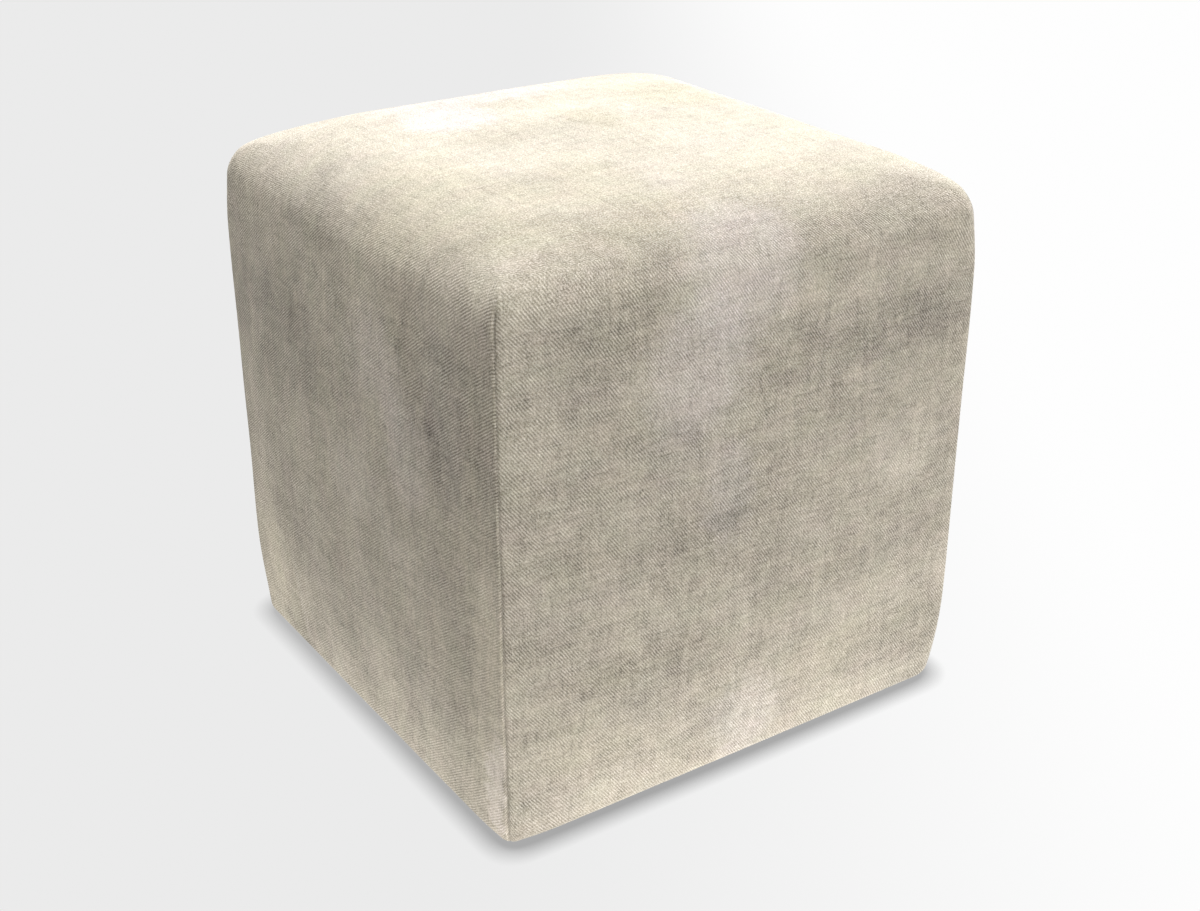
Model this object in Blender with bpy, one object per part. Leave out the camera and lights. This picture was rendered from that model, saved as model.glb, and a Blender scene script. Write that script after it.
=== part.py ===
"""A cube pouf stool: a firm filled cover of woven cloth, closed by a base panel.

One cross-shaped cut of cloth makes the top and the four sides, so the top edges are
soft folds and only the four upright corners are sewn. The cloth turns in under the
bottom edge, where the flat base panel closes it.

Units are metres and +Z is up. The origin is the middle of the underside, at floor level.
"""
import math

import bmesh
import bpy
import numpy as np
from mathutils import Matrix

# The filled cover
SEAM_TO_SEAM = 0.430        # width between neighbouring sewn corners
EDGE_HEIGHT = 0.452         # level at which a flat top would meet the sides
FACE_PUFF = 0.010           # how far the middle of a side stands out past the seams
CROWN = 0.008               # how far the middle of the top rises above its edges
TOP_FOLD_IN = 0.072         # the soft top edge: how far it reaches in over the top,
TOP_FOLD_DOWN = 0.043       # and how far down the side
BOTTOM_TURN = 0.009         # radius at which the cloth turns in under the bottom edge
SEAM_ROUND = 0.008          # radius of an upright corner at mid height
TOP_CORNER_ROUND = 0.025    # the corner swells to this radius at the top,
TOP_CORNER_REACH = 0.088    # over this height,
LOW_CORNER_ROUND = 0.027    # and to this radius at the floor,
LOW_CORNER_REACH = 0.084    # over this height
TIGHT_CORNER = 0.35         # the front left corner swells by only this share of that,
CORNER_LIFT = 0.003         # and its seam draws it up off the floor by this much,
LIFT_REACH = 0.026          # over this distance in plan
TOP_SPREAD = 0.090          # the top itself rounds its corners off by this much more,
TOP_SPREAD_REACH = 0.024    # within this height of the edge level
SEAM_DRAW = 0.0018          # how deep the sewn seam pulls the corner in
SEAM_HALF_WIDTH = 0.0035    # half the width of that channel
SEAM_TOP_GAP = 0.022        # the channel starts this far under the edge level,
SEAM_TOP_REACH = 0.010      # and reaches its full depth over this height

# The base panel, let in flush with the turned-in cloth
TURN_IN = 0.024             # width of the turned-in cloth, from the outer face
PANEL_THICKNESS = 0.002
PANEL_CORNER = 0.016
GAP = 0.0003                # clearance between the two pieces

# The mesh
CELLS = 26                  # grid cells along each edge of the starting cube
EDGE_CROWDING = 0.9         # 0 spaces the grid evenly, towards 1 crowds it to the edges
BISECTIONS = 36
CORNER_SEGMENTS = 6

CLOTH_COLOR = (0.47, 0.43, 0.36, 1.0)
PANEL_COLOR = (0.30, 0.28, 0.24, 1.0)


def arch(fraction):
    """1 in the middle of a face, falling smoothly to 0 at its edges."""
    return 1.0 - np.clip(fraction, 0.0, 1.0) ** 2


def ease(fraction):
    """A smooth step from 0 to 1."""
    t = np.clip(fraction, 0.0, 1.0)
    return t * t * (3.0 - 2.0 * t)


def rounded_meeting(face_a, face_b, radius):
    """Join two signed distances, rounding the edge where the faces meet."""
    over_a = np.maximum(face_a + radius, 0.0)
    over_b = np.maximum(face_b + radius, 0.0)
    inside = np.minimum(np.maximum(face_a, face_b) + radius, 0.0)
    return np.hypot(over_a, over_b) - radius + inside


def corner_radius(height, swell):
    """Radius of an upright corner: slim at mid height, swelling at its two ends."""
    rise = ease((height - EDGE_HEIGHT + TOP_CORNER_REACH) / TOP_CORNER_REACH)
    drop = np.clip(1.0 - height / LOW_CORNER_REACH, 0.0, 1.0) ** 2
    spread = np.clip((height - EDGE_HEIGHT) / TOP_SPREAD_REACH + 1.0, 0.0, 1.0) ** 2
    return (SEAM_ROUND + (TOP_CORNER_ROUND - SEAM_ROUND) * rise * swell
            + (LOW_CORNER_ROUND - SEAM_ROUND) * drop * swell + TOP_SPREAD * spread)


def seam_channel(x, y, height):
    """Depth of the channel that the sewing draws in along the upright corners."""
    off_corner = np.abs(x - y) / math.sqrt(2.0)
    upright = ease((EDGE_HEIGHT - SEAM_TOP_GAP - height) / SEAM_TOP_REACH)
    return SEAM_DRAW * np.exp(-(off_corner / SEAM_HALF_WIDTH) ** 2) * upright


def floor_level(points):
    """Level of the cover's underside: flat, but drawn up at the front left corner."""
    half = SEAM_TO_SEAM / 2.0
    off_corner = np.hypot(points[:, 0] + half, points[:, 1] + half)
    return CORNER_LIFT * np.exp(-(off_corner / LIFT_REACH) ** 2)


def cover_field(points):
    """Negative inside the filled cover, zero on its surface, positive outside."""
    half = SEAM_TO_SEAM / 2.0
    x, y, z = np.abs(points[:, 0]), np.abs(points[:, 1]), points[:, 2]
    puff = FACE_PUFF * np.sin(math.pi * np.clip(z / EDGE_HEIGHT, 0.0, 1.0))
    face_x = x - half - puff * arch(y / half)
    face_y = y - half - puff * arch(x / half)
    front_left = (points[:, 0] < 0.0) & (points[:, 1] < 0.0)
    radius = corner_radius(z, np.where(front_left, TIGHT_CORNER, 1.0))
    sides = rounded_meeting(face_x, face_y, radius) + seam_channel(x, y, z)
    top = z - EDGE_HEIGHT - CROWN * arch(x / half) * arch(y / half)
    reach_in = np.maximum(sides / TOP_FOLD_IN + 1.0, 0.0)
    reach_up = np.maximum(top / TOP_FOLD_DOWN + 1.0, 0.0)
    folded = (np.hypot(reach_in, reach_up) - 1.0) * TOP_FOLD_DOWN
    return rounded_meeting(folded, floor_level(points) - z, BOTTOM_TURN)


def crowd(steps):
    """Respace values from -1 to 1 so that they lie closer together near the ends."""
    quarter = EDGE_CROWDING * math.pi / 2.0
    return np.sin(steps * quarter) / math.sin(quarter)


def on_surface(directions):
    """Push points of a cube from -1 to 1 out along their rays onto the cover."""
    centre = np.array([0.0, 0.0, EDGE_HEIGHT / 2.0])
    reach = np.array([SEAM_TO_SEAM / 2.0, SEAM_TO_SEAM / 2.0, EDGE_HEIGHT / 2.0])
    rays = crowd(directions) * reach
    low = np.full(len(rays), 0.5)
    high = np.full(len(rays), 1.3)
    for _ in range(BISECTIONS):
        middle = (low + high) / 2.0
        inside = cover_field(centre + rays * middle[:, None]) < 0.0
        low = np.where(inside, middle, low)
        high = np.where(inside, high, middle)
    points = centre + rays * low[:, None]
    underside = directions[:, 2] < -0.999
    points[underside & (points[:, 2] < GAP), 2] = 0.0
    return points


def new_collection(name):
    collection = bpy.data.collections.new(name)
    bpy.context.scene.collection.children.link(collection)
    return collection


def cloth_material(name, color, roughness):
    material = bpy.data.materials.new(name)
    material.use_nodes = True
    shader = material.node_tree.nodes["Principled BSDF"]
    shader.inputs["Base Color"].default_value = color
    shader.inputs["Roughness"].default_value = roughness
    shader.inputs["Metallic"].default_value = 0.0
    return material


def object_from(bm, name, collection):
    mesh = bpy.data.meshes.new(name)
    bmesh.ops.recalc_face_normals(bm, faces=bm.faces)
    bm.to_mesh(mesh)
    bm.free()
    obj = bpy.data.objects.new(name, mesh)
    collection.objects.link(obj)
    return obj


def filled_cover(collection):
    """The cover and its fill, as one solid grown from an evenly divided cube."""
    bm = bmesh.new()
    bmesh.ops.create_cube(bm, size=2.0)
    bmesh.ops.subdivide_edges(bm, edges=bm.edges[:], cuts=CELLS - 1, use_grid_fill=True)
    directions = np.array([vert.co for vert in bm.verts])
    for vert, point in zip(bm.verts, on_surface(directions)):
        vert.co = point
    cover = object_from(bm, "cover", collection)
    cover.data.shade_smooth()
    cover.data.materials.append(cloth_material("cover_cloth", CLOTH_COLOR, 0.92))
    return cover


def rounded_square(name, half_width, radius, bottom, top, collection):
    """A square plate between two levels, with rounded upright corners."""
    bm = bmesh.new()
    bmesh.ops.create_cube(bm, size=1.0)
    size = Matrix.Diagonal((2.0 * half_width, 2.0 * half_width, top - bottom, 1.0))
    place = Matrix.Translation((0.0, 0.0, (bottom + top) / 2.0))
    bmesh.ops.transform(bm, matrix=place @ size, verts=bm.verts)
    upright = [edge for edge in bm.edges
               if abs(edge.verts[0].co.z - edge.verts[1].co.z) > GAP]
    bmesh.ops.bevel(bm, geom=upright, offset=radius, segments=CORNER_SEGMENTS,
                    profile=0.5, affect='EDGES')
    return object_from(bm, name, collection)


def base_panel(cover, parts, cutters):
    """The flat panel, and the shallow recess that it sits in."""
    half = SEAM_TO_SEAM / 2.0 - TURN_IN
    panel = rounded_square("base_panel", half, PANEL_CORNER, 0.0, PANEL_THICKNESS, parts)
    panel.data.materials.append(cloth_material("panel_cloth", PANEL_COLOR, 0.95))
    recess = rounded_square("panel_recess", half + GAP, PANEL_CORNER + GAP,
                            -PANEL_THICKNESS, PANEL_THICKNESS + GAP, cutters)
    recess.hide_render = True
    recess.display_type = 'WIRE'
    cut = cover.modifiers.new("let in the base panel", 'BOOLEAN')
    cut.operation = 'DIFFERENCE'
    cut.object = recess


def main():
    for obj in list(bpy.data.objects):
        bpy.data.objects.remove(obj, do_unlink=True)
    parts = new_collection("cube_pouf_stool")
    cutters = new_collection("cutters")
    cover = filled_cover(parts)
    base_panel(cover, parts, cutters)


main()
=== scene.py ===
"""The looks of the cube pouf stool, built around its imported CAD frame.

The cover is one cross-shaped cut of twill: its middle is the top, its arms are the four
sides. Everything woven is worked out in the cut's own flat coordinates, in metres, so the
twill lines run unbroken over the folded top edges and meet in chevrons at the four sewn
corners, as on the real cover.
"""
import math
from collections import namedtuple

import bmesh
import bpy
import numpy as np
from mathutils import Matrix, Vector

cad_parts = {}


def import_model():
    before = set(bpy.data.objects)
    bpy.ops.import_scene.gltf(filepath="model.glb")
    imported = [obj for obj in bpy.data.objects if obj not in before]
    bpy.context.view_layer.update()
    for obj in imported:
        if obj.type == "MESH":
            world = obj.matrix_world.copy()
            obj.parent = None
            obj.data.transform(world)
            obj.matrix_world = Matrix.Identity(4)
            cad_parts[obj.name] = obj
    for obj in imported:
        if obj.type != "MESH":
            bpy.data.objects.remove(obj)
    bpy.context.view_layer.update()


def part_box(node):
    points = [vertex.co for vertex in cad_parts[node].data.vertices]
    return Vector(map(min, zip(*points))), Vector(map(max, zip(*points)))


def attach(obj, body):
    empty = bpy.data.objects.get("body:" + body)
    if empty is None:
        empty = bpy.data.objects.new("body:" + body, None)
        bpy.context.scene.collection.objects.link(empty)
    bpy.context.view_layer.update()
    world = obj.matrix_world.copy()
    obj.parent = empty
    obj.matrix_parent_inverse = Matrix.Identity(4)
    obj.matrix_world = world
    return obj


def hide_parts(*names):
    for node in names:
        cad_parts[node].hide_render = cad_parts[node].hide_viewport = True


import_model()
COVER_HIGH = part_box("cover")[1]
PANEL_LOW, PANEL_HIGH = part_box("base_panel")

# The cover's shape, in metres: the CAD solid's, but with slimmer corners and finer seams
FACE_PUFF = 0.010           # how far the middle of a side stands out past the seams
CROWN = 0.008               # how far the middle of the top rises above its edges
HALF = COVER_HIGH.x - FACE_PUFF
EDGE_HEIGHT = COVER_HIGH.z - CROWN
TOP_FOLD_IN = 0.072         # the soft top edge reaches this far in over the top,
TOP_FOLD_DOWN = 0.043       # and this far down the side
BOTTOM_TURN = 0.009         # radius at which the cloth turns in under the bottom edge
SEAM_ROUND = 0.0035         # radius of an upright corner at mid height
TOP_CORNER_ROUND = 0.025    # the corner swells to this radius at the top,
TOP_CORNER_REACH = 0.088    # over this height,
LOW_CORNER_ROUND = 0.027    # and to this radius at the floor,
LOW_CORNER_REACH = 0.084    # over this height
TIGHT_CORNER = 0.35         # the front left corner swells by only this share of that,
CORNER_LIFT = 0.003         # and its seam draws it up off the floor by this much,
LIFT_REACH = 0.026          # over this distance in plan
TOP_SPREAD = 0.090          # the top itself rounds its corners off by this much more,
TOP_SPREAD_REACH = 0.024    # within this height of the edge level
SEAM_DRAW = 0.0010          # how deep the sewn seam pulls the corner in
SEAM_HALF_WIDTH = 0.0010    # half the width of that channel
SEAM_TOP_GAP = 0.026        # the channel starts this far under the edge level,
SEAM_TOP_REACH = 0.006      # and reaches its full depth over this height
RECESS_DEPTH = 0.0035       # the underside is let in this much for the base panel
RECESS_EASE = 0.004         # over this width
UNEVENNESS = 0.0005         # how far the filled sides wander from true

# The mesh
CELLS = 118                 # grid cells along each edge of the starting cube
EDGE_CROWDING = 0.9         # 0 spaces the grid evenly, towards 1 crowds it to the edges
BISECTIONS = 36
CUT_STEPS = 400             # steps in which the lengths of the cut are measured
CLOTH_MAP = "Cloth"         # the UV map that holds the cut's flat coordinates
UNDERSIDE = -0.999          # height on the starting cube, from -1 to 1, of its bottom face

# The base panel
PANEL_CELLS = 64
PANEL_CORNER = 0.016        # radius of its corners
PANEL_THICK = 0.0015
PANEL_WAVE = 0.0001         # it lies at most twice this far from dead flat
PANEL_CLEARANCE = 0.0003    # between its edge and the cover

# The weave: a two-over, two-under twill
END_SPACING = 0.000615      # between warp threads
PICK_SPACING = 0.000846     # between weft threads
TWILL_REPEAT = 4.0          # threads in one repeat
WALE = Vector((END_SPACING, -PICK_SPACING)).normalized()   # the way the twill lines run
CLOTH_COLOR = (0.457, 0.415, 0.344, 1.0)
PANEL_THREAD = 0.0016       # two threads of the plain base cloth
PANEL_COLOR = (0.30, 0.28, 0.24, 1.0)

# What breaks the cover's colour up, from clouds down to single threads: the size of each
# noise, in metres along and across the cloth
CLOUD = (0.100, 0.055)
COOL_CLOUD = (0.070, 0.040)
BLUSH = (0.038, 0.024)
WASH = (0.042, 0.007)       # used both ways round, as are the slubs and the ragged edges
RAGGED = (0.024, 0.012)     # the edges of the placed patches
RAGGED_REACH = 0.036        # how far these edges stray
MOTTLE = (0.020, 0.014)
CLEARNESS = (0.018, 0.012)  # where the twill lines show more and less
SLUB = (0.018, 0.0016)
HEATHER = (0.0055, 0.0030)
FLECK = (0.0036, 0.0011)
THREAD = (0.0013, 0.0010)
DARKEST_YARN = -0.32        # no yarn is darker than this against the rest
TOP_ENDS = HALF - 0.025     # the top, with its twill and unevenness damped as painted highlight, begins to give way here on the flat cut, and has ended here
SIDES_BEGIN = HALF + 0.022  # and has ended here

# The painted shade along the sewn corners, and the painted highlight beside it
SEAM_LINE = (0.0018, 0.0004)      # where the dark line begins and is full, off the corner
SEAM_FADE = (0.38, 0.41)          # heights between which it deepens
SEAM_DEPTH = (0.09, 0.30)         # how dark it is below and above
SEAM_HIGHLIGHT_STRIP = (0.0004, 0.0014, 0.0024, 0.0045)    # the painted highlight strip beside it, off the corner
SEAM_HIGHLIGHT_TONE = 0.13

# Soft hollows (-) and ridges (+) in the filled sides. Sizes are half lengths in metres,
# turn is degrees from upright towards +X or +Y, and rise is how far the cloth stands out.
Fold = namedtuple("Fold", "side along height long wide turn rise")
FOLDS = (
    Fold("left", -0.148, 0.372, 0.045, 0.010, 70, -0.0014),
    Fold("left", -0.137, 0.310, 0.075, 0.016, 25, -0.0022),
    Fold("left", -0.102, 0.300, 0.070, 0.018, 25, 0.0014),
    Fold("left", -0.190, 0.250, 0.070, 0.010, -6, -0.0007),
    Fold("left", 0.020, 0.240, 0.110, 0.045, 8, -0.0014),
    Fold("left", 0.128, 0.055, 0.045, 0.006, 9, -0.0012),
    Fold("left", 0.112, 0.050, 0.040, 0.006, 9, 0.0008),
    Fold("left", 0.070, 0.035, 0.040, 0.009, 12, -0.0007),
    Fold("left", -0.192, 0.090, 0.085, 0.009, 0, 0.0010),
    Fold("front", -0.176, 0.372, 0.045, 0.012, 42, -0.0010),
    Fold("front", -0.150, 0.392, 0.045, 0.014, 50, 0.0008),
    Fold("front", -0.095, 0.200, 0.100, 0.045, 6, -0.0013),
    Fold("front", 0.150, 0.300, 0.070, 0.035, -8, -0.0012),
    Fold("front", 0.100, 0.120, 0.080, 0.050, 20, 0.0008),
    Fold("front", -0.195, 0.160, 0.120, 0.008, 0, 0.0007),
    Fold("back", 0.120, 0.330, 0.070, 0.016, 25, -0.0013),
    Fold("back", -0.080, 0.190, 0.110, 0.050, -10, -0.0012),
    Fold("right", 0.150, 0.340, 0.060, 0.014, -26, -0.0013),
    Fold("right", -0.040, 0.210, 0.120, 0.055, 6, -0.0013),
    Fold("right", 0.185, 0.080, 0.080, 0.009, 0, 0.0008),
)

# Patches of the cover: some are the dye's own washed-out clouds, others are painted light
# and shade, as marked below. On the top, along is X and height is Y. The sizes are half lengths
# in metres, tone lightens (+) or darkens (-) the cloth, and cool turns it towards a bluish
# grey.
Patch = namedtuple("Patch", "side along height wide tall tone cool")
DYE_AND_PAINTED_LIGHT_PATCHES = (
    # painted light: a paler band just under the soft top edge of the front
    Patch("front", 0.000, 0.414, 0.210, 0.016, 0.06, 0.0),
    Patch("front", -0.010, 0.420, 0.058, 0.062, 0.19, 1.0),
    Patch("front", -0.056, 0.352, 0.052, 0.056, 0.18, 1.0),
    Patch("front", -0.028, 0.250, 0.026, 0.050, 0.04, 0.9),
    Patch("front", -0.075, 0.288, 0.034, 0.030, -0.10, 0.4),
    Patch("front", -0.072, 0.175, 0.028, 0.090, -0.08, 0.0),
    Patch("front", 0.095, 0.342, 0.120, 0.034, -0.14, 0.1),
    Patch("front", 0.170, 0.325, 0.035, 0.040, -0.06, 0.0),
    Patch("front", 0.152, 0.238, 0.044, 0.044, 0.11, 0.2),
    Patch("front", 0.105, 0.165, 0.030, 0.035, 0.05, 0.0),
    Patch("front", 0.028, 0.168, 0.034, 0.050, -0.05, 0.0),
    Patch("front", -0.110, 0.128, 0.090, 0.018, -0.09, -0.2),
    Patch("front", 0.178, 0.140, 0.022, 0.040, -0.07, 0.0),
    Patch("front", -0.145, 0.062, 0.050, 0.036, 0.10, -0.2),
    Patch("front", 0.002, 0.038, 0.040, 0.048, 0.16, 0.8),
    # lighter along the bottom of the front
    Patch("front", 0.000, 0.020, 0.220, 0.026, 0.09, 0.0),
    # painted highlight: a pale strip down the right edge of the front, where the light grazes
    # it
    Patch("front", 0.214, 0.190, 0.014, 0.170, 0.12, 0.0),
    Patch("front", -0.130, 0.430, 0.036, 0.022, 0.09, 0.0),
    Patch("front", 0.082, 0.070, 0.050, 0.036, 0.05, -0.2),
    # painted light: a paler band just under the soft top edge of the left side
    Patch("left", 0.000, 0.400, 0.210, 0.026, 0.08, 0.0),
    Patch("left", -0.203, 0.048, 0.013, 0.050, 0.32, 1.0),
    Patch("left", 0.115, 0.305, 0.110, 0.048, -0.13, 0.1),
    Patch("left", -0.053, 0.338, 0.050, 0.040, 0.15, 0.6),
    Patch("left", -0.100, 0.282, 0.036, 0.050, 0.13, 0.8),
    Patch("left", -0.018, 0.226, 0.050, 0.032, 0.11, 0.4),
    Patch("left", -0.068, 0.195, 0.024, 0.018, 0.08, 0.2),
    Patch("left", -0.152, 0.320, 0.030, 0.080, -0.13, 0.4),
    Patch("left", -0.160, 0.375, 0.036, 0.014, -0.10, 0.1),
    Patch("left", -0.198, 0.130, 0.022, 0.140, 0.20, -0.2),
    Patch("left", 0.185, 0.080, 0.036, 0.110, 0.22, -0.2),
    Patch("left", 0.140, 0.070, 0.050, 0.056, 0.14, -0.2),
    Patch("left", 0.050, 0.050, 0.060, 0.050, -0.07, 0.2),
    Patch("left", -0.026, 0.090, 0.026, 0.030, 0.05, 0.0),
    Patch("left", -0.090, 0.095, 0.040, 0.030, -0.05, 0.2),
    # painted highlight: the next three make the back and the right edge of the top whiter,
    # burnt out by the top light
    Patch("top", -0.070, 0.092, 0.046, 0.040, 0.18, 1.6),
    Patch("top", -0.020, 0.145, 0.110, 0.030, 0.14, 1.3),
    Patch("top", 0.190, 0.050, 0.026, 0.150, 0.10, 0.8),
    Patch("top", -0.070, 0.030, 0.034, 0.040, -0.06, -0.1),
    Patch("top", 0.020, 0.030, 0.022, 0.044, -0.08, -0.6),
    Patch("top", 0.125, 0.070, 0.046, 0.056, -0.07, -0.7),
    # painted shade: the next four darken the front and left of the top, where it turns away
    # from the top light
    Patch("top", -0.170, -0.070, 0.060, 0.110, -0.05, -0.6),
    Patch("top", -0.080, -0.105, 0.060, 0.050, -0.08, -0.5),
    Patch("top", -0.110, -0.170, 0.090, 0.030, -0.08, -0.4),
    Patch("top", 0.060, -0.160, 0.170, 0.030, -0.06, -0.2),
    Patch("top", -0.020, -0.135, 0.024, 0.022, 0.09, 0.2),
    Patch("top", 0.080, -0.060, 0.050, 0.040, 0.05, 0.3),
    Patch("back", 0.060, 0.320, 0.060, 0.060, 0.12, 0.8),
    Patch("back", -0.110, 0.200, 0.060, 0.080, -0.11, 0.0),
    Patch("back", 0.130, 0.110, 0.045, 0.060, -0.08, 0.2),
    Patch("back", -0.020, 0.060, 0.060, 0.040, 0.10, 0.3),
    Patch("right", -0.080, 0.350, 0.060, 0.060, 0.12, 0.8),
    Patch("right", 0.080, 0.240, 0.050, 0.090, -0.12, 0.0),
    Patch("right", -0.120, 0.120, 0.060, 0.050, -0.08, 0.2),
    Patch("right", 0.100, 0.060, 0.060, 0.040, 0.11, 0.2),
)

# The view
CAMERA_PLACE = (-0.7218, -1.0835, 0.8156)
CAMERA_AIM = (0.0081, -0.0055, 0.1797)
CAMERA_LENS = 51.56
SENSOR_WIDTH = 36.0
ABOVE = (0.0, 0.0, 0.45)    # what the lights are aimed at
BESIDE = (0.0, 0.0, 0.25)
WARM = (1.0, 0.98, 0.94)
SOFTBOX = (1.4, 1.4)        # width and height of each light
POOL = (0.03, -0.08, 0.0)   # middle of the pool of light that the floor throws back
FLOOR_RADIUS = 14.0
FLOOR_DROP = 0.0002         # the floor lies this far under the pouf
RIGHTWARDS = (0.832, -0.555, 0.0)               # to the right as the camera sees it
SHADOW_REACH = 0.020        # how far the contact shadow spreads
WALL_SHADE = 0.90           # of the far wall, which the far floor fades into
WALL_LIGHT = 0.46           # strength of the light that comes from all round


# ---------------------------------------------------------------- shape of the cover

def arch(fraction):
    """1 in the middle of a face, falling smoothly to 0 at its edges."""
    return 1.0 - np.clip(fraction, 0.0, 1.0) ** 2


def ease(fraction):
    """A smooth step from 0 to 1."""
    t = np.clip(fraction, 0.0, 1.0)
    return t * t * (3.0 - 2.0 * t)


def rounded_meeting(face_a, face_b, radius):
    """Join two signed distances, rounding the edge where the faces meet."""
    over_a = np.maximum(face_a + radius, 0.0)
    over_b = np.maximum(face_b + radius, 0.0)
    inside = np.minimum(np.maximum(face_a, face_b) + radius, 0.0)
    return np.hypot(over_a, over_b) - radius + inside


def corner_radius(height, swell):
    """Radius of an upright corner: slim at mid height, swelling at its two ends."""
    rise = ease((height - EDGE_HEIGHT + TOP_CORNER_REACH) / TOP_CORNER_REACH)
    drop = np.clip(1.0 - height / LOW_CORNER_REACH, 0.0, 1.0) ** 2
    spread = np.clip((height - EDGE_HEIGHT) / TOP_SPREAD_REACH + 1.0, 0.0, 1.0) ** 2
    return (SEAM_ROUND + (TOP_CORNER_ROUND - SEAM_ROUND) * rise * swell
            + (LOW_CORNER_ROUND - SEAM_ROUND) * drop * swell + TOP_SPREAD * spread)


def seam_channel(x, y, height):
    """Depth of the channel that the sewing draws in along the upright corners."""
    off_corner = np.abs(x - y) / math.sqrt(2.0)
    upright = ease((EDGE_HEIGHT - SEAM_TOP_GAP - height) / SEAM_TOP_REACH)
    return SEAM_DRAW * np.exp(-(off_corner / SEAM_HALF_WIDTH) ** 2) * upright


def floor_level(points):
    """Level of the cover's underside: flat, but drawn up at the front left corner."""
    off_corner = np.hypot(points[:, 0] + HALF, points[:, 1] + HALF)
    return CORNER_LIFT * np.exp(-(off_corner / LIFT_REACH) ** 2)


def cover_field(points):
    """Negative inside the filled cover, zero on its surface, positive outside."""
    x, y, z = np.abs(points[:, 0]), np.abs(points[:, 1]), points[:, 2]
    puff = FACE_PUFF * np.sin(math.pi * np.clip(z / EDGE_HEIGHT, 0.0, 1.0))
    face_x = x - HALF - puff * arch(y / HALF)
    face_y = y - HALF - puff * arch(x / HALF)
    front_left = (points[:, 0] < 0.0) & (points[:, 1] < 0.0)
    radius = corner_radius(z, np.where(front_left, TIGHT_CORNER, 1.0))
    sides = rounded_meeting(face_x, face_y, radius) + seam_channel(x, y, z)
    top = z - EDGE_HEIGHT - CROWN * arch(x / HALF) * arch(y / HALF)
    reach_in = np.maximum(sides / TOP_FOLD_IN + 1.0, 0.0)
    reach_up = np.maximum(top / TOP_FOLD_DOWN + 1.0, 0.0)
    folded = (np.hypot(reach_in, reach_up) - 1.0) * TOP_FOLD_DOWN
    return rounded_meeting(folded, floor_level(points) - z, BOTTOM_TURN)


def crowd(steps):
    """Respace values from -1 to 1 so that they lie closer together near the ends."""
    quarter = EDGE_CROWDING * math.pi / 2.0
    return np.sin(steps * quarter) / math.sin(quarter)


def on_surface(directions):
    """Push points of a cube from -1 to 1 out along their rays onto the cover."""
    centre = np.array([0.0, 0.0, EDGE_HEIGHT / 2.0])
    rays = crowd(directions) * np.array([HALF, HALF, EDGE_HEIGHT / 2.0])
    low = np.full(len(rays), 0.5)
    high = np.full(len(rays), 1.3)
    for _ in range(BISECTIONS):
        middle = (low + high) / 2.0
        inside = cover_field(centre + rays * middle[:, None]) < 0.0
        low = np.where(inside, middle, low)
        high = np.where(inside, high, middle)
    return centre + rays * low[:, None]


SIDE_AXES = {"left": (0, -1.0), "right": (0, 1.0), "front": (1, -1.0), "back": (1, 1.0)}


def press_folds(points):
    """Work the soft hollows and ridges, and a slight unevenness, into the cover."""
    x, y, z = points.T
    shift = np.zeros_like(points)
    upright = ease(z / 0.03) * ease((EDGE_HEIGHT - z) / 0.05)
    for fold in FOLDS:
        axis, sign = SIDE_AXES[fold.side]
        across, up = points[:, 1 - axis] - fold.along, z - fold.height
        lean = math.radians(fold.turn)
        run = (up * math.cos(lean) + across * math.sin(lean)) / fold.long
        off = (across * math.cos(lean) - up * math.sin(lean)) / fold.wide
        facing = ease((sign * points[:, axis] / HALF - 0.93) / 0.05)
        press = fold.rise * np.exp(-run ** 2 - off ** 2) * facing * upright
        shift[:, axis] += sign * press
    ripple = (np.sin(31.0 * x + 17.0 * z + 1.3) * np.sin(27.0 * y - 23.0 * z + 0.4)
              + 0.6 * np.sin(53.0 * y + 41.0 * x + 2.0) * np.sin(47.0 * z + 0.9))
    shift[:, 0] += UNEVENNESS * ripple * x / HALF * upright
    shift[:, 1] += UNEVENNESS * ripple * y / HALF * upright
    top = ease((z - EDGE_HEIGHT + 0.03) / 0.03)
    swell = np.sin(24.0 * x + 0.7) * np.sin(21.0 * y + 1.9) + 0.5 * np.sin(43.0 * x - 37.0 * y)
    shift[:, 2] += UNEVENNESS * swell * top
    return points + shift


def let_in_underside(points, directions):
    """Flatten the underside, and let its middle in for the base panel."""
    under = directions[:, 2] < UNDERSIDE
    across = np.maximum(np.abs(points[:, 0]), np.abs(points[:, 1]))
    rim = PANEL_HIGH.x + PANEL_CLEARANCE
    depth = RECESS_DEPTH * ease((rim - across) / RECESS_EASE + 1.0)
    points[under, 2] = np.where(across < rim + RECESS_EASE, depth, points[:, 2])[under]
    return points


# ------------------------------------------------- flat coordinates of the cut cloth

def run_along(directions):
    """Length of cloth from the first of these points to each of them."""
    steps = np.linalg.norm(np.diff(on_surface(directions), axis=0), axis=1)
    return np.concatenate([[0.0], np.cumsum(steps)])


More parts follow.
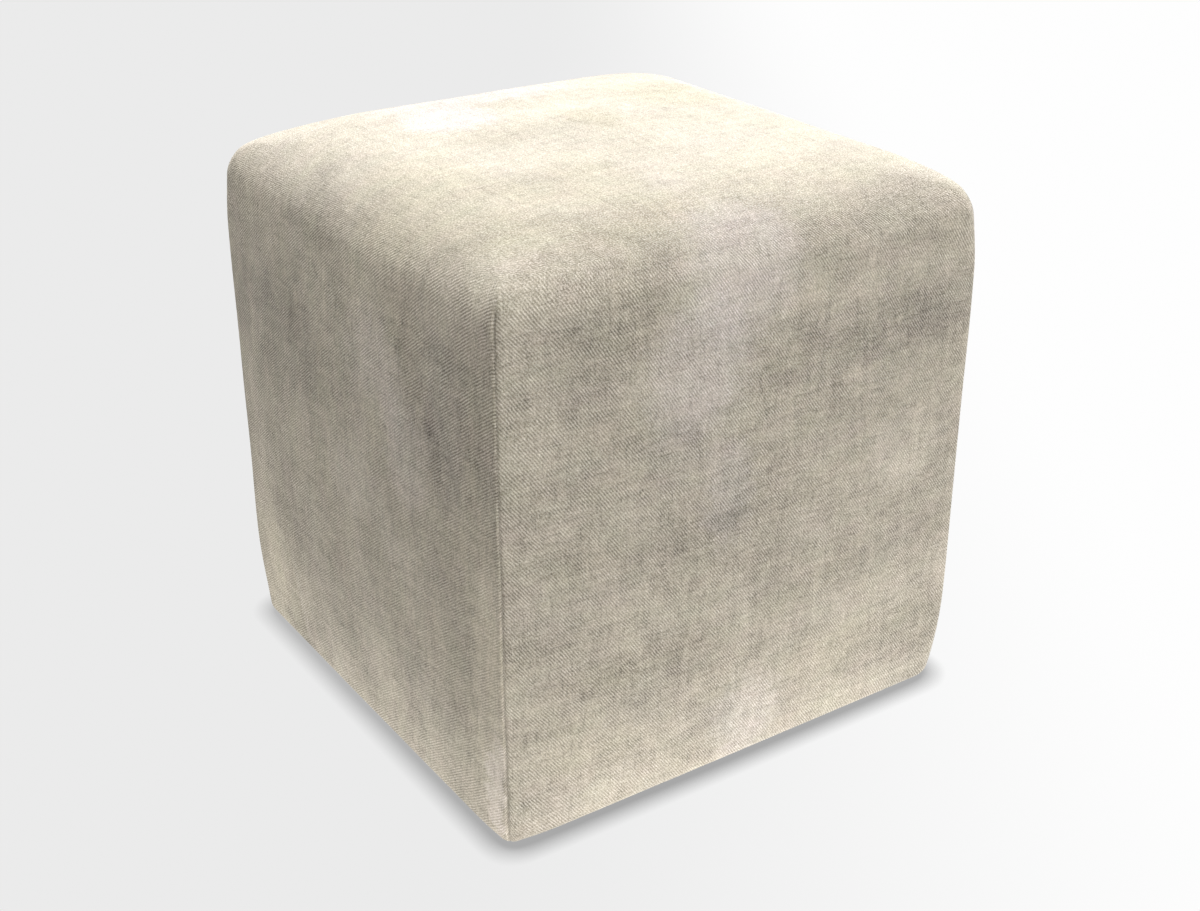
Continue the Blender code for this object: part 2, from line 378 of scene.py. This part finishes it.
class Cut:
    """Tables that turn a point of the starting cube into metres of flat cloth."""

    def __init__(self):
        self.steps = np.linspace(0.0, 1.0, CUT_STEPS)
        ones, zeros = np.ones(CUT_STEPS), np.zeros(CUT_STEPS)
        fall = np.linspace(1.0, -1.0, CUT_STEPS)
        self.fall_steps = fall[::-1]
        self.over_top = run_along(np.stack([zeros, -self.steps, ones], axis=1))
        self.across_side = run_along(np.stack([self.steps, -ones, zeros], axis=1))
        middle_line = np.stack([zeros, -ones, fall], axis=1)
        self.down_side = run_along(middle_line)[::-1]
        self.side_heights = on_surface(middle_line)[::-1, 2]
        self.under = run_along(np.stack([zeros, -self.steps[::-1], -ones], axis=1))[::-1]

    def on_top(self, t):
        return np.sign(t) * np.interp(np.abs(t), self.steps, self.over_top)

    def on_side(self, t, level):
        """Across a side: the arm of the cut is a little narrower near the top."""
        wide = np.sign(t) * np.interp(np.abs(t), self.steps, self.across_side)
        return wide + (self.on_top(t) - wide) * ease((level - 0.45) / 0.55)

    def down(self, level):
        """Cloth used from the middle of the top down to this level of a side."""
        return self.over_top[-1] + np.interp(level, self.fall_steps, self.down_side)

    def turned_in(self, t):
        """Cloth used from the middle of the top to this far in under the bottom."""
        return self.down(-1.0) + np.interp(np.abs(t), self.steps, self.under)


def flat_spot(cut, side, along, height):
    """Where a spot on the pouf lies on the flat cut: on the top, height is Y."""
    if side == "top":
        return along, height
    axis, sign = SIDE_AXES[side]
    out = sign * (cut.over_top[-1] + np.interp(height, cut.side_heights, cut.down_side))
    return (out, along) if axis == 0 else (along, out)


def flat_place(cut, cube_points, side_axis, side_sign):
    """Flat coordinates of points that all lie on one face of the starting cube."""
    x, y, z = cube_points.T
    if side_axis == 2 and side_sign > 0:
        return np.stack([cut.on_top(x), cut.on_top(y)], axis=1)
    if side_axis == 0:
        out, along, level = side_sign * cut.down(z), y, z
        return np.stack([out, cut.on_side(along, level)], axis=1)
    if side_axis == 1:
        out, along, level = side_sign * cut.down(z), x, z
        return np.stack([cut.on_side(along, level), out], axis=1)
    to_x = np.abs(x).mean() > np.abs(y).mean()
    if to_x:
        return np.stack([np.sign(x.mean()) * cut.turned_in(x), cut.on_side(y, z)], axis=1)
    return np.stack([cut.on_side(x, z), np.sign(y.mean()) * cut.turned_in(y)], axis=1)


def lay_cloth_map(mesh, directions):
    """Give every face corner its place on the flat cut."""
    cut = Cut()
    loops = np.zeros(len(mesh.loops), np.int32)
    mesh.loops.foreach_get("vertex_index", loops)
    quads = directions[loops].reshape(-1, 4, 3)
    middles = quads.mean(axis=1)
    axis = np.abs(middles).argmax(axis=1)
    sign = np.sign(middles[np.arange(len(middles)), axis])
    sector = np.where(np.abs(middles[:, 0]) > np.abs(middles[:, 1]), 0, 1)
    side = np.where((axis == 2) & (sign < 0), 10 + sector * 2
                    + (middles[np.arange(len(middles)), sector] > 0), axis * 2 + (sign > 0))
    flat = np.zeros((len(quads), 4, 2))
    for key in np.unique(side):
        chosen = side == key
        first = np.flatnonzero(chosen)[0]
        place = flat_place(cut, quads[chosen].reshape(-1, 3), axis[first], sign[first])
        flat[chosen] = place.reshape(-1, 4, 2)
    layer = mesh.uv_layers.new(name=CLOTH_MAP)
    layer.data.foreach_set("uv", flat.astype(np.float32).ravel())


def filled_cover():
    """The cover with its fill, as a fine closed mesh grown from a divided cube."""
    bm = bmesh.new()
    bmesh.ops.create_cube(bm, size=2.0)
    bmesh.ops.subdivide_edges(bm, edges=bm.edges[:], cuts=CELLS - 1, use_grid_fill=True)
    bmesh.ops.recalc_face_normals(bm, faces=bm.faces)
    mesh = bpy.data.meshes.new("pouf_cover")
    bm.to_mesh(mesh)
    bm.free()
    directions = np.zeros(len(mesh.vertices) * 3, np.float32)
    mesh.vertices.foreach_get("co", directions)
    directions = directions.reshape(-1, 3).astype(float)
    points = let_in_underside(press_folds(on_surface(directions)), directions)
    mesh.vertices.foreach_set("co", points.astype(np.float32).ravel())
    lay_cloth_map(mesh, directions)
    mesh.shade_smooth()
    cover = bpy.data.objects.new("pouf_cover", mesh)
    bpy.context.scene.collection.objects.link(cover)
    return cover


def panel_sheet():
    """The base panel: a thin square of cloth with rounded corners, flat on the floor."""
    bm = bmesh.new()
    bmesh.ops.create_grid(bm, x_segments=PANEL_CELLS, y_segments=PANEL_CELLS, size=1.0)
    half = PANEL_HIGH.x
    for vert in bm.verts:
        spot = np.array(vert.co.xy)
        reach = np.abs(spot).max()
        if reach == 0.0:
            continue
        edge = spot / reach * half
        corner = np.clip(edge, PANEL_CORNER - half, half - PANEL_CORNER)
        off = edge - corner
        spot = (corner + off * PANEL_CORNER / np.linalg.norm(off)) * reach
        sag = PANEL_WAVE * math.sin(41.0 * spot[0] + 0.6) * math.sin(37.0 * spot[1] + 1.1)
        inward = float(ease((1.0 - reach) / 0.15))
        vert.co = (spot[0], spot[1], PANEL_LOW.z + (PANEL_WAVE + sag) * inward)
    mesh = bpy.data.meshes.new("base_cloth")
    bm.to_mesh(mesh)
    bm.free()
    mesh.shade_smooth()
    panel = bpy.data.objects.new("base_cloth", mesh)
    bpy.context.scene.collection.objects.link(panel)
    thicken = panel.modifiers.new("thickness", 'SOLIDIFY')
    thicken.thickness = PANEL_THICK
    thicken.offset = 1.0
    return panel


# -------------------------------------------------------------------- node helpers

class Nodes:
    """Adds nodes to a tree. A value may be a number, a tuple or another socket."""

    def __init__(self, tree):
        self.tree = tree
        tree.nodes.clear()

    def add(self, kind, inputs=(), **settings):
        node = self.tree.nodes.new(kind)
        for name, value in settings.items():
            setattr(node, name, value)
        for name, value in dict(inputs).items():
            self.feed(node.inputs[name], value)
        return node

    def feed(self, socket, value):
        if isinstance(value, bpy.types.NodeSocket):
            self.tree.links.new(value, socket)
        else:
            socket.default_value = value

    def math(self, operation, *values):
        node = self.add("ShaderNodeMath", operation=operation)
        for socket, value in zip(node.inputs, values):
            self.feed(socket, value)
        return node.outputs[0]

    def remap(self, value, low, high, new_low=0.0, new_high=1.0, smooth=True):
        node = self.add("ShaderNodeMapRange", {
            "Value": value, "From Min": low, "From Max": high,
            "To Min": new_low, "To Max": new_high})
        node.interpolation_type = 'SMOOTHSTEP' if smooth else 'LINEAR'
        return node.outputs[0]

    def blend(self, kind, factor, first, second):
        node = self.add("ShaderNodeMix", data_type='RGBA', blend_type=kind)
        self.feed(node.inputs[0], factor)
        self.feed(node.inputs[6], first)
        self.feed(node.inputs[7], second)
        return node.outputs[2]

    def vector(self, operation, *values, out=0):
        node = self.add("ShaderNodeVectorMath", operation=operation)
        for socket, value in zip(node.inputs, values):
            self.feed(socket, value)
        return node.outputs[out]

    def noise(self, vector, size, detail=2.0, roughness=0.5, shift=0.0):
        """Noise from -0.5 to 0.5, in cells of this size (two lengths, in metres)."""
        scale = (1.0 / size[0], 1.0 / size[1], 0.0)
        cells = self.vector('MULTIPLY_ADD', vector, scale, (shift, 3.7 * shift, 0.0))
        node = self.add("ShaderNodeTexNoise", {
            "Vector": cells, "Scale": 1.0, "Detail": detail, "Roughness": roughness},
            noise_dimensions='2D')
        return self.math('SUBTRACT', node.outputs["Fac"], 0.5)

    def total(self, start, *terms):
        """start plus each (value, amount) product."""
        for value, amount in terms:
            start = self.math('MULTIPLY_ADD', value, amount, start)
        return start


# ------------------------------------------------------------------- cover material

def twill_lines(n, cloth, along, across):
    """The ridges of the twill, which climb one thread at a time: 0 to 1."""
    ends = n.math('DIVIDE', along, END_SPACING)
    picks = n.math('DIVIDE', across, PICK_SPACING)
    climb = n.math('DIVIDE', n.math('ADD', ends, picks), TWILL_REPEAT)
    climb = n.total(climb, (n.noise(cloth, (0.040, 0.040)), 0.9),
                    (n.noise(cloth, (0.007, 0.005), 1.0, 0.5, 2.3), 0.35))
    return n.math('MULTIPLY_ADD', n.math('SINE', n.math('MULTIPLY', climb, math.tau)), 0.5, 0.5)


def dye_and_painted_light_patches(n, cloth, cut):
    """The placed patches of dye and of painted light and shade, with ragged edges: how much
    lighter, and how much cooler.
    """
    ragged = n.add("ShaderNodeCombineXYZ", {
        0: n.math('MULTIPLY', n.noise(cloth, RAGGED, 4.0, 0.65, 5.5), RAGGED_REACH),
        1: n.math('MULTIPLY', n.noise(cloth, RAGGED[::-1], 4.0, 0.65, 8.5), RAGGED_REACH)})
    warped = n.vector('ADD', cloth, ragged.outputs[0])
    tone, cool = 0.0, 0.0
    for patch in DYE_AND_PAINTED_LIGHT_PATCHES:
        spot = flat_spot(cut, patch.side, patch.along, patch.height)
        upright_in_u = patch.side in ("left", "right")
        size = (patch.tall, patch.wide) if upright_in_u else (patch.wide, patch.tall)
        away = n.vector('MULTIPLY_ADD', warped, (1.0 / size[0], 1.0 / size[1], 0.0),
                        (-spot[0] / size[0], -spot[1] / size[1], 0.0))
        inside = n.remap(n.vector('LENGTH', away, out=1), 1.20, 0.50)
        tone = n.math('MULTIPLY_ADD', inside, patch.tone, tone)
        cool = n.math('MULTIPLY_ADD', inside, patch.cool, cool)
    return tone, cool


def painted_seam_shade_and_highlight(n):
    """The painted shade of the upright seams: a dark line that fades downwards, and beside
    it a painted highlight, the paler rise of the left and right sides."""
    place = n.add("ShaderNodeTexCoord").outputs["Object"]
    size = n.add("ShaderNodeSeparateXYZ", {0: n.vector('ABSOLUTE', place)})
    height = size.outputs[2]
    off = n.math('SUBTRACT', size.outputs[0], size.outputs[1])
    line = n.remap(n.math('ABSOLUTE', off), *SEAM_LINE)
    depth = n.remap(height, *SEAM_FADE, *SEAM_DEPTH)
    begins, full, falls, ends = SEAM_HIGHLIGHT_STRIP
    # painted highlight on the cloth that rolls into the seam
    rise = n.math('MULTIPLY', n.remap(off, begins, full), n.remap(off, ends, falls))
    below = n.remap(height, EDGE_HEIGHT - SEAM_TOP_GAP,
                    EDGE_HEIGHT - SEAM_TOP_GAP - SEAM_TOP_REACH)
    shade = n.total(0.0, (n.math('MULTIPLY', line, depth), -1.0),
                    (rise, SEAM_HIGHLIGHT_TONE))
    return n.math('MULTIPLY', shade, below)


def off_top(n, along, across, on_top):
    """This much on the top, rising to 1 on the sides. On the top it damps the twill lines and
    the unevenness, a painted highlight standing in for the glare of the bright top light, and
    makes the threads fuzzier.
    """
    far = n.math('MAXIMUM', n.math('ABSOLUTE', along), n.math('ABSOLUTE', across))
    return n.remap(far, TOP_ENDS, SIDES_BEGIN, on_top, 1.0)


def cover_material():
    material = bpy.data.materials.new("cover_cloth")
    material.use_nodes = True
    n = Nodes(material.node_tree)
    cloth = n.add("ShaderNodeUVMap", uv_map=CLOTH_MAP).outputs[0]
    split = n.add("ShaderNodeSeparateXYZ", {0: cloth})
    along, across = split.outputs[0], split.outputs[1]
    by_wale = n.add("ShaderNodeCombineXYZ", {
        0: n.vector('DOT_PRODUCT', cloth, (WALE.x, WALE.y, 0.0), out=1),
        1: n.vector('DOT_PRODUCT', cloth, (-WALE.y, WALE.x, 0.0), out=1)}).outputs[0]
    wale = twill_lines(n, cloth, along, across)
    patch_tone, patch_cool = dye_and_painted_light_patches(n, cloth, Cut())

    cloud = n.noise(cloth, CLOUD, 2.0, 0.5, 1.7)
    wash_along = n.noise(cloth, WASH, 4.0, 0.6, 4.1)
    wash_across = n.noise(cloth, WASH[::-1], 4.0, 0.6, 6.4)
    mottle = n.noise(cloth, MOTTLE, 3.0, 0.6, 5.2)
    slub = n.remap(n.noise(cloth, SLUB, 2.0, 0.6, 7.3), 0.04, 0.20)
    slub_across = n.remap(n.noise(cloth, SLUB[::-1], 2.0, 0.6, 3.9), 0.04, 0.20)
    heather = n.noise(cloth, HEATHER, 3.0, 0.65, 9.9)
    fleck = n.noise(by_wale, FLECK, 1.0, 0.6, 12.1)
    thread = n.noise(cloth, THREAD, 1.0, 0.7, 15.2)
    clear = n.remap(n.noise(cloth, CLEARNESS, 2.0, 0.6, 17.7), -0.20, 0.20, 0.5, 1.2)
    # twill lines damped on the top: painted highlight, for the glare of the top light
    clear = n.math('MULTIPLY', clear, off_top(n, along, across, 0.22))
    lines = n.math('MULTIPLY', n.math('SUBTRACT', wale, 0.5), clear)
    fuzz = n.math('MULTIPLY', thread, off_top(n, along, across, 1.8))
    fine = n.total(0.0, (heather, 0.70), (fleck, 0.62), (fuzz, 1.30), (lines, 0.62))
    fine = n.math('MAXIMUM', fine, DARKEST_YARN)
    # the cloth's own unevenness, with the placed patches of dye and of painted light and shade
    uneven_and_painted_light = n.total(0.0, (cloud, 0.50), (mottle, 0.34), (wash_along, 0.38),
                     (wash_across, 0.38), (slub, -0.16), (slub_across, -0.16),
                     (fine, 1.0), (patch_tone, 1.0))
    # unevenness damped on the top: painted highlight, for the glare of the top light
    tone = n.total(1.04, (uneven_and_painted_light, off_top(n, along, across, 0.78)))
    # painted shade and highlight along the upright seams
    tone = n.math('MULTIPLY', tone, n.math('ADD', painted_seam_shade_and_highlight(n), 1.0))

    # hue: pinkish against greenish, and warm cream against a cool grey
    blush = n.noise(cloth, BLUSH, 3.0, 0.6, 21.0)
    cool = n.total(patch_cool, (n.noise(cloth, COOL_CLOUD, 3.0, 0.6, 27.0), 0.9))
    tint = n.add("ShaderNodeCombineColor", {
        0: n.total(1.0, (blush, 0.045), (cool, -0.012), (fine, -0.035)),
        1: n.total(1.0, (blush, -0.045), (cool, -0.013)),
        2: n.total(1.0, (blush, 0.03), (cool, 0.062), (fine, 0.11))}).outputs[0]
    grey = n.add("ShaderNodeCombineColor", {0: tone, 1: tone, 2: tone}).outputs[0]
    color = n.blend('MULTIPLY', 1.0, n.blend('MULTIPLY', 1.0, CLOTH_COLOR, tint), grey)

    height = n.total(0.0, (lines, 1.0), (thread, 1.0), (fleck, 0.6))
    bump = n.add("ShaderNodeBump", {"Height": height, "Strength": 0.6,
                                    "Distance": 0.0004}).outputs[0]
    shader = n.add("ShaderNodeBsdfPrincipled", {
        "Base Color": color, "Roughness": 0.95, "Normal": bump,
        "Sheen Weight": 0.2, "Sheen Roughness": 0.5, "Specular IOR Level": 0.15})
    shader.inputs["Sheen Tint"].default_value = (1.0, 0.97, 0.92, 1.0)
    n.add("ShaderNodeOutputMaterial", {"Surface": shader.outputs[0]})
    return material


def panel_material():
    """Plain woven base cloth, in a darker shade of the cover."""
    material = bpy.data.materials.new("panel_cloth")
    material.use_nodes = True
    n = Nodes(material.node_tree)
    place = n.add("ShaderNodeTexCoord").outputs["Object"]
    split = n.add("ShaderNodeSeparateXYZ", {0: place})
    thread_u = n.math('SINE', n.math('MULTIPLY', split.outputs[0], math.tau / PANEL_THREAD))
    thread_v = n.math('SINE', n.math('MULTIPLY', split.outputs[1], math.tau / PANEL_THREAD))
    weave = n.math('MULTIPLY', thread_u, thread_v)
    tone = n.total(1.0, (n.noise(place, (0.060, 0.045), 3.0, 0.6, 31.0), 0.22),
                   (n.noise(place, (0.0040, 0.0009), 2.0, 0.6, 33.0), 0.35),
                   (n.noise(place, (0.0009, 0.0040), 2.0, 0.6, 35.0), 0.35), (weave, 0.10))
    grey = n.add("ShaderNodeCombineColor", {0: tone, 1: tone, 2: tone}).outputs[0]
    bump = n.add("ShaderNodeBump", {"Height": weave, "Strength": 0.5,
                                    "Distance": 0.0003}).outputs[0]
    shader = n.add("ShaderNodeBsdfPrincipled", {
        "Base Color": n.blend('MULTIPLY', 1.0, PANEL_COLOR, grey), "Roughness": 0.95,
        "Normal": bump, "Sheen Weight": 0.15, "Sheen Roughness": 0.5,
        "Specular IOR Level": 0.15})
    n.add("ShaderNodeOutputMaterial", {"Surface": shader.outputs[0]})
    return material


# ----------------------------------------------------------------------- the studio

def floor_material():
    material = bpy.data.materials.new("floor_paper")
    material.use_nodes = True
    n = Nodes(material.node_tree)
    place = n.add("ShaderNodeNewGeometry").outputs["Position"]
    right = n.vector('DOT_PRODUCT', place, RIGHTWARDS, out=1)
    away = n.vector('DISTANCE', place, POOL, out=1)
    far = n.remap(away, 5.5, 12.0)
    pale = n.remap(right, -0.15, 0.55, 0.83, 0.99)
    pale = n.math('MULTIPLY_ADD', far, n.math('SUBTRACT', WALL_SHADE, pale), pale)
    darkest = n.remap(right, -0.30, 0.05, 0.60, 0.45)
    shade = n.add("ShaderNodeAmbientOcclusion", {"Distance": SHADOW_REACH}, samples=16)
    contact = n.remap(shade.outputs["AO"], 0.46, 1.0, darkest, 1.0, smooth=False)
    seen = n.add("ShaderNodeEmission", {"Color": (1.0, 1.0, 1.0, 1.0),
                                        "Strength": n.math('MULTIPLY', pale, contact)})
    pool = n.remap(away, 0.12, 0.70, 1.65, 0.22)
    bounce = n.add("ShaderNodeEmission", {"Color": (1.0, 0.985, 0.95, 1.0),
                                          "Strength": pool})
    to_camera = n.add("ShaderNodeLightPath").outputs["Is Camera Ray"]
    both = n.add("ShaderNodeMixShader", {0: to_camera})
    n.feed(both.inputs[1], bounce.outputs[0])
    n.feed(both.inputs[2], seen.outputs[0])
    n.add("ShaderNodeOutputMaterial", {"Surface": both.outputs[0]})
    return material


def floor():
    mesh = bpy.data.meshes.new("studio_floor")
    bm = bmesh.new()
    bmesh.ops.create_circle(bm, cap_ends=True, segments=96, radius=FLOOR_RADIUS)
    bm.to_mesh(mesh)
    bm.free()
    disc = bpy.data.objects.new("studio_floor", mesh)
    disc.location.z = -FLOOR_DROP
    mesh.materials.append(floor_material())
    bpy.context.scene.collection.objects.link(disc)


def softbox(name, place, aim, power, color=(1.0, 1.0, 1.0)):
    light = bpy.data.lights.new(name, 'AREA')
    light.shape = 'RECTANGLE'
    light.size, light.size_y = SOFTBOX
    light.energy = power
    light.color = color
    lamp = bpy.data.objects.new(name, light)
    lamp.location = place
    lamp.rotation_euler = (Vector(aim) - Vector(place)).to_track_quat('-Z', 'Y').to_euler()
    lamp.visible_camera = False
    bpy.context.scene.collection.objects.link(lamp)


def world():
    sky = bpy.data.worlds.new("studio")
    sky.use_nodes = True
    n = Nodes(sky.node_tree)
    to_camera = n.add("ShaderNodeLightPath").outputs["Is Camera Ray"]
    strength = n.remap(to_camera, 0.0, 1.0, WALL_LIGHT, WALL_SHADE, smooth=False)
    color = n.blend('MIX', to_camera, (*WARM, 1.0), (1.0, 1.0, 1.0, 1.0))
    light = n.add("ShaderNodeBackground", {"Color": color, "Strength": strength})
    n.add("ShaderNodeOutputWorld", {"Surface": light.outputs[0]})
    bpy.context.scene.world = sky


def camera():
    data = bpy.data.cameras.new("camera")
    data.lens = CAMERA_LENS
    data.sensor_width = SENSOR_WIDTH
    data.sensor_fit = 'HORIZONTAL'
    obj = bpy.data.objects.new("camera", data)
    obj.location = CAMERA_PLACE
    gaze = Vector(CAMERA_AIM) - Vector(CAMERA_PLACE)
    obj.rotation_euler = gaze.to_track_quat('-Z', 'Y').to_euler()
    bpy.context.scene.collection.objects.link(obj)
    bpy.context.scene.camera = obj


# --------------------------------------------------------------------- put together

cover = filled_cover()
cover.data.materials.append(cover_material())
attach(cover, "root")
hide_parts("cover")

panel = panel_sheet()
panel.data.materials.append(panel_material())
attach(panel, "root")
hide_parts("base_panel")

floor()
world()
camera()
softbox("over_back", (0.0, 1.5, 1.7), ABOVE, 56.0)
softbox("over_right", (1.5, 0.0, 1.7), ABOVE, 48.0)
softbox("fill_front", (0.3, -2.4, 0.7), BESIDE, 21.0)
softbox("high_corner", (-1.3, -1.3, 1.6), BESIDE, 4.5, WARM)
softbox("side_left", (-2.2, 0.3, 0.7), BESIDE, 3.3, WARM)
bpy.context.scene.view_settings.view_transform = 'Standard'
